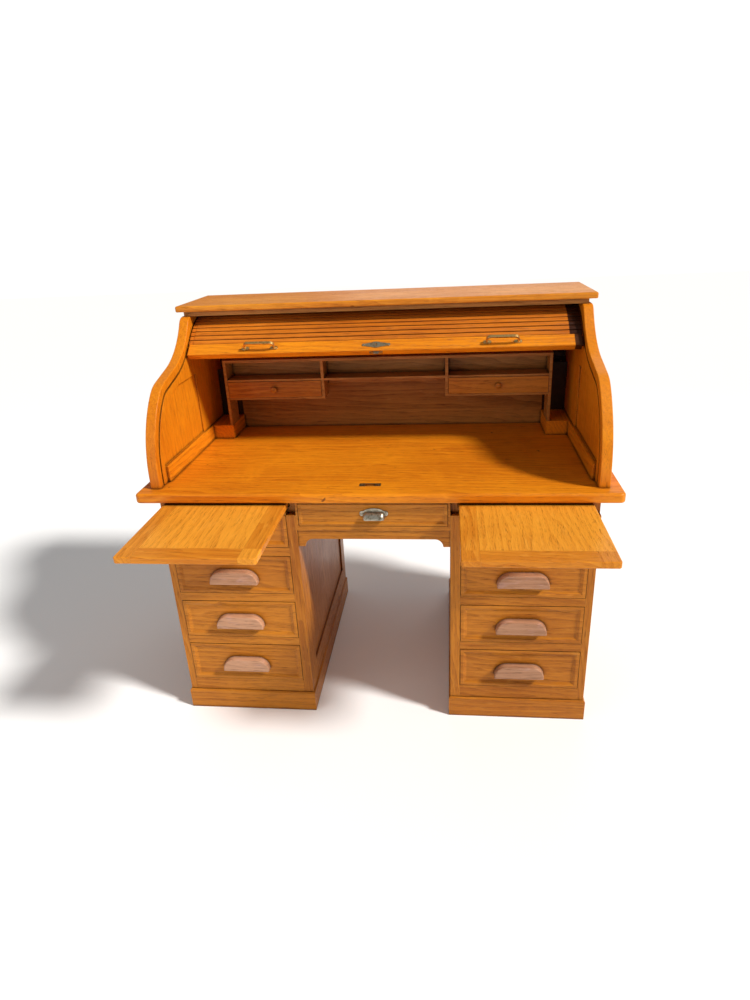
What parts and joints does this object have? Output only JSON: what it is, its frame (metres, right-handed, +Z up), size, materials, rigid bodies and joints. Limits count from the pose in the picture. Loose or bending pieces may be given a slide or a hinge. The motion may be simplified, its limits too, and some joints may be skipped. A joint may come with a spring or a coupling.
{
  "type": "roll top desk",
  "caption": "Double-pedestal oak roll top desk with an S-shaped slatted curtain, pull-out writing slides, panelled drawers with cup pulls, and pigeonholes.",
  "frame": {"origin": "on the floor, in the middle of the desk's box with both writing slides pulled out", "axes": "+X to the sitter's right along the worktop, +Y to the back of the desk, +Z up"},
  "size_m": [1.37, 1.09, 1.2338],
  "materials": {
    "worktop_oak": "waxed",
    "top_oak": "waxed",
    "upper_oak": "waxed",
    "carcass_oak": "waxed",
    "drawer_oak": "waxed",
    "slide_oak": "waxed",
    "tambour_oak": "waxed",
    "inner_oak": "satin",
    "runner_oak": "bare",
    "pull_oak": "satin",
    "knob_oak": "satin",
    "aged_brass": "aged",
    "pewter": "aged"
  },
  "bodies": {
    "case": {"drawer_runners": "runner_oak", "inner_backboard": "inner_oak", "kneehole_apron": "carcass_oak", "left_face_frame": "carcass_oak", "left_pedestal_sides": "carcass_oak", "left_plinth": "carcass_oak", "left_upper_side": "upper_oak", "pedestal_backs": "carcass_oak", "pigeonhole_unit": "inner_oak", "right_face_frame": "carcass_oak", "right_pedestal_sides": "carcass_oak", "right_plinth": "carcass_oak", "right_upper_side": "upper_oak", "side_sills": "inner_oak", "strike_plate": "aged_brass", "top_board": "top_oak", "top_frame": "upper_oak", "upper_back": "carcass_oak", "worktop": "worktop_oak"},
    "left_drawer_1_body": {"left_drawer_1": "drawer_oak", "left_drawer_1_pull": "pull_oak"},
    "left_drawer_2_body": {"left_drawer_2": "drawer_oak", "left_drawer_2_pull": "pull_oak"},
    "left_drawer_3_body": {"left_drawer_3": "drawer_oak", "left_drawer_3_pull": "pull_oak"},
    "left_drawer_4_body": {"left_drawer_4": "drawer_oak", "left_drawer_4_pull": "pull_oak"},
    "left_small_drawer_body": {"left_small_drawer": "inner_oak", "left_small_knob": "knob_oak"},
    "left_writing_slide_body": {"left_writing_slide": "slide_oak"},
    "right_drawer_1_body": {"right_drawer_1": "drawer_oak", "right_drawer_1_pull": "pull_oak"},
    "right_drawer_2_body": {"right_drawer_2": "drawer_oak", "right_drawer_2_pull": "pull_oak"},
    "right_drawer_3_body": {"right_drawer_3": "drawer_oak", "right_drawer_3_pull": "pull_oak"},
    "right_drawer_4_body": {"right_drawer_4": "drawer_oak", "right_drawer_4_pull": "pull_oak"},
    "right_small_drawer_body": {"right_small_drawer": "inner_oak", "right_small_knob": "knob_oak"},
    "right_writing_slide_body": {"right_writing_slide": "slide_oak"},
    "kneehole_drawer_body": {"kneehole_drawer": "drawer_oak", "kneehole_pull": "pewter"},
    "lift_rail_body": {"lift_rail": "tambour_oak", "lift_handles": "aged_brass", "escutcheon": "aged_brass", "lock_catch": "pewter"},
    "slats_01_body": {"slats_01": "tambour_oak"},
    "slats_02_body": {"slats_02": "tambour_oak"},
    "slats_03_body": {"slats_03": "tambour_oak"},
    "slats_04_body": {"slats_04": "tambour_oak"},
    "slats_05_body": {"slats_05": "tambour_oak"},
    "slats_06_body": {"slats_06": "tambour_oak"},
    "slats_07_body": {"slats_07": "tambour_oak"},
    "slats_08_body": {"slats_08": "tambour_oak"},
    "slats_09_body": {"slats_09": "tambour_oak"},
    "slats_10_body": {"slats_10": "tambour_oak"},
    "slats_11_body": {"slats_11": "tambour_oak"}
  },
  "joints": [
    {"name": "left_drawer_1_slide", "type": "slide", "parent": "case", "child": "left_drawer_1_body", "axis": [0, -1, 0], "range_m": [0, 0.42]},
    {"name": "left_drawer_2_slide", "type": "slide", "parent": "case", "child": "left_drawer_2_body", "axis": [0, -1, 0], "range_m": [0, 0.42]},
    {"name": "left_drawer_3_slide", "type": "slide", "parent": "case", "child": "left_drawer_3_body", "axis": [0, -1, 0], "range_m": [0, 0.42]},
    {"name": "left_drawer_4_slide", "type": "slide", "parent": "case", "child": "left_drawer_4_body", "axis": [0, -1, 0], "range_m": [0, 0.42]},
    {"name": "left_small_drawer_slide", "type": "slide", "parent": "case", "child": "left_small_drawer_body", "axis": [0, -1, 0], "range_m": [0, 0.05]},
    {"name": "left_writing_slide_push", "type": "slide", "parent": "case", "child": "left_writing_slide_body", "axis": [0, -1, 0], "range_m": [-0.312, 0]},
    {"name": "right_drawer_1_slide", "type": "slide", "parent": "case", "child": "right_drawer_1_body", "axis": [0, -1, 0], "range_m": [0, 0.42]},
    {"name": "right_drawer_2_slide", "type": "slide", "parent": "case", "child": "right_drawer_2_body", "axis": [0, -1, 0], "range_m": [0, 0.42]},
    {"name": "right_drawer_3_slide", "type": "slide", "parent": "case", "child": "right_drawer_3_body", "axis": [0, -1, 0], "range_m": [0, 0.42]},
    {"name": "right_drawer_4_slide", "type": "slide", "parent": "case", "child": "right_drawer_4_body", "axis": [0, -1, 0], "range_m": [0, 0.42]},
    {"name": "right_small_drawer_slide", "type": "slide", "parent": "case", "child": "right_small_drawer_body", "axis": [0, -1, 0], "range_m": [0, 0.05]},
    {"name": "right_writing_slide_push", "type": "slide", "parent": "case", "child": "right_writing_slide_body", "axis": [0, -1, 0], "range_m": [-0.312, 0]},
    {"name": "kneehole_drawer_slide", "type": "slide", "parent": "case", "child": "kneehole_drawer_body", "axis": [0, -1, 0], "range_m": [0, 0.34]},
    {"name": "curtain_roll", "type": "hinge", "parent": "case", "child": "slats_06_body", "pos_m": [0, 0.35972, 0.66415], "axis": [1, 0, 0], "range_deg": [0, 53.89]},
    {"name": "slats_05_hinge", "type": "hinge", "parent": "slats_06_body", "child": "slats_05_body", "pos_m": [0, 0.42379, 1.18506], "axis": [1, 0, 0], "range_deg": [-21.47, 0.5]},
    {"name": "slats_04_hinge", "type": "hinge", "parent": "slats_05_body", "child": "slats_04_body", "pos_m": [0, 0.37276, 1.19188], "axis": [1, 0, 0], "range_deg": [-0.5, 10.1]},
    {"name": "slats_03_hinge", "type": "hinge", "parent": "slats_04_body", "child": "slats_03_body", "pos_m": [0, 0.32082, 1.18758], "axis": [1, 0, 0], "range_deg": [-1.8, 0.5]},
    {"name": "slats_02_hinge", "type": "hinge", "parent": "slats_03_body", "child": "slats_02_body", "pos_m": [0, 0.27102, 1.17221], "axis": [1, 0, 0], "range_deg": [-1.8, 0.5]},
    {"name": "slats_01_hinge", "type": "hinge", "parent": "slats_02_body", "child": "slats_01_body", "pos_m": [0, 0.22569, 1.14649], "axis": [1, 0, 0], "range_deg": [-0.88, 0.5]},
    {"name": "lift_rail_hinge", "type": "hinge", "parent": "slats_01_body", "child": "lift_rail_body", "pos_m": [0, 0.18639, 1.11226], "axis": [1, 0, 0], "range_deg": [-0.5, 12.61]},
    {"name": "slats_07_hinge", "type": "hinge", "parent": "slats_06_body", "child": "slats_07_body", "pos_m": [0, 0.46384, 1.15159], "axis": [1, 0, 0], "range_deg": [-0.5, 48.66]},
    {"name": "slats_08_hinge", "type": "hinge", "parent": "slats_07_body", "child": "slats_08_body", "pos_m": [0, 0.46656, 1.09947], "axis": [1, 0, 0], "range_deg": [-0.5, 11.75]},
    {"name": "slats_09_hinge", "type": "hinge", "parent": "slats_08_body", "child": "slats_09_body", "pos_m": [0, 0.46656, 1.04733], "axis": [1, 0, 0], "range_deg": [-0.5, 10.12]},
    {"name": "slats_10_hinge", "type": "hinge", "parent": "slats_09_body", "child": "slats_10_body", "pos_m": [0, 0.46656, 0.9952], "axis": [1, 0, 0], "range_deg": [-0.5, 9.22]},
    {"name": "slats_11_hinge", "type": "hinge", "parent": "slats_10_body", "child": "slats_11_body", "pos_m": [0, 0.46656, 0.94303], "axis": [1, 0, 0], "range_deg": [-7.3, 0.5]}
  ],
  "couplings": [
    {"joint": "slats_05_hinge", "follows": "curtain_roll", "ratio": -0.38916},
    {"joint": "slats_04_hinge", "follows": "curtain_roll", "ratio": 0.17806},
    {"joint": "slats_03_hinge", "follows": "curtain_roll", "ratio": -0.024058},
    {"joint": "slats_02_hinge", "follows": "curtain_roll", "ratio": -0.024058},
    {"joint": "slats_01_hinge", "follows": "curtain_roll", "ratio": -0.006998},
    {"joint": "lift_rail_hinge", "follows": "curtain_roll", "ratio": 0.22478},
    {"joint": "slats_07_hinge", "follows": "curtain_roll", "ratio": 0.89368},
    {"joint": "slats_08_hinge", "follows": "curtain_roll", "ratio": 0.2088},
    {"joint": "slats_09_hinge", "follows": "curtain_roll", "ratio": 0.17844},
    {"joint": "slats_10_hinge", "follows": "curtain_roll", "ratio": 0.16172},
    {"joint": "slats_11_hinge", "follows": "curtain_roll", "ratio": -0.12612}
  ]
}
